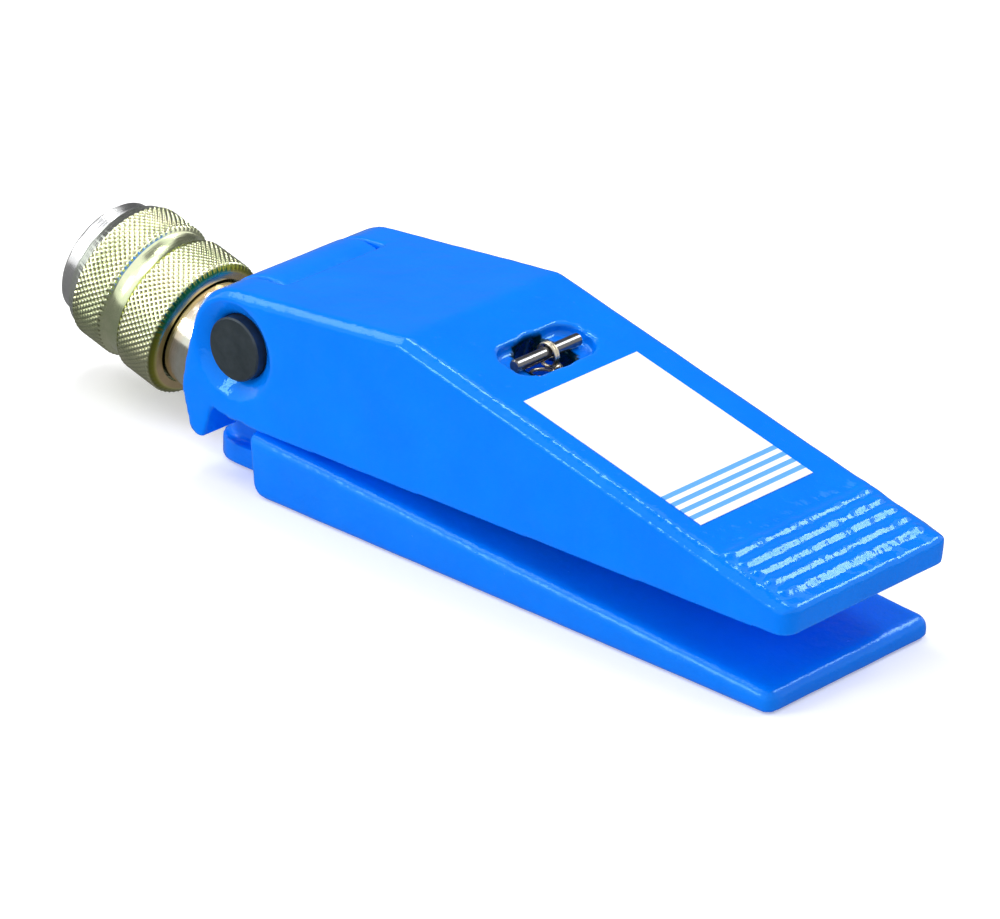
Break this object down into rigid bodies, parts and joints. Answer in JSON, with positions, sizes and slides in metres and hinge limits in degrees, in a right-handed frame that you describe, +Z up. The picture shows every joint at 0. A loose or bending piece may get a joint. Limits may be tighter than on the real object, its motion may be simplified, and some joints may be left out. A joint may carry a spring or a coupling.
{
  "type": "hydraulic wedge spreader",
  "caption": "Hydraulic wedge spreader: two hinged cast jaws opened by an enclosed ram, with a return spring and a knurled quick coupler at the rear.",
  "frame": {"origin": "on the sole of the lower jaw, under the axis of the ram", "axes": "+X towards the nose, +Z up through the upper jaw, +Y to the far side"},
  "size_m": [0.2462, 0.0572, 0.055],
  "materials": {
    "jaw_enamel": "glossy enamel over a casting",
    "black_oxide": "black oxide steel",
    "chromed_steel": "ground and chromed",
    "dowel_steel": "bright ground steel",
    "spring_wire": "drawn spring wire",
    "yellow_zinc": "yellow passivated zinc",
    "clear_zinc": "turned bright steel",
    "valve_brass": "turned brass",
    "seal_rubber": "nitrile",
    "backup_plastic": "plain",
    "label_film": "printed film, plain bars only"
  },
  "bodies": {
    "base": {"lower_jaw": "jaw_enamel", "hinge_pin": "black_oxide", "hinge_set_screw": "black_oxide", "lower_spring_pin": "dowel_steel", "return_spring": "spring_wire", "coupler_body": "yellow_zinc", "coupler_nose": "clear_zinc", "sleeve_spring": "spring_wire", "spring_washer": "dowel_steel", "lock_balls": "dowel_steel", "poppet_spring": "spring_wire", "valve_guide": "valve_brass", "nose_seal": "seal_rubber"},
    "jaw": {"upper_jaw": "jaw_enamel", "upper_spring_pin": "dowel_steel", "jaw_label": "label_film"},
    "piston": {"ram": "chromed_steel", "ram_seal": "seal_rubber", "ram_backup_ring": "backup_plastic"},
    "sleeve": {"coupler_sleeve": "yellow_zinc"},
    "poppet": {"poppet_valve": "valve_brass", "poppet_seal": "seal_rubber"}
  },
  "joints": [
    {"name": "jaw_hinge", "type": "hinge", "parent": "base", "child": "jaw", "pos_m": [-0.032, 0, 0.035], "axis": [0, -1, 0], "range_deg": [-5, 29.5], "deforming": ["return_spring"]},
    {"name": "ram_slide", "type": "slide", "parent": "base", "child": "piston", "axis": [0, 0, 1], "range_m": [-0.00267, 0.01563]},
    {"name": "sleeve_slide", "type": "slide", "parent": "base", "child": "sleeve", "axis": [0.9664, 0, -0.2571], "range_m": [0, 0.005], "stiffness_N_per_m": 900, "springref_m": -0.003, "deforming": ["sleeve_spring"]},
    {"name": "poppet_slide", "type": "slide", "parent": "base", "child": "poppet", "axis": [0.9664, 0, -0.2571], "range_m": [0, 0.0035], "stiffness_N_per_m": 500, "springref_m": -0.002, "deforming": ["poppet_spring"]}
  ],
  "couplings": [
    {"joint": "ram_slide", "follows": "jaw_hinge", "m_per_rad": 0.030323}
  ]
}
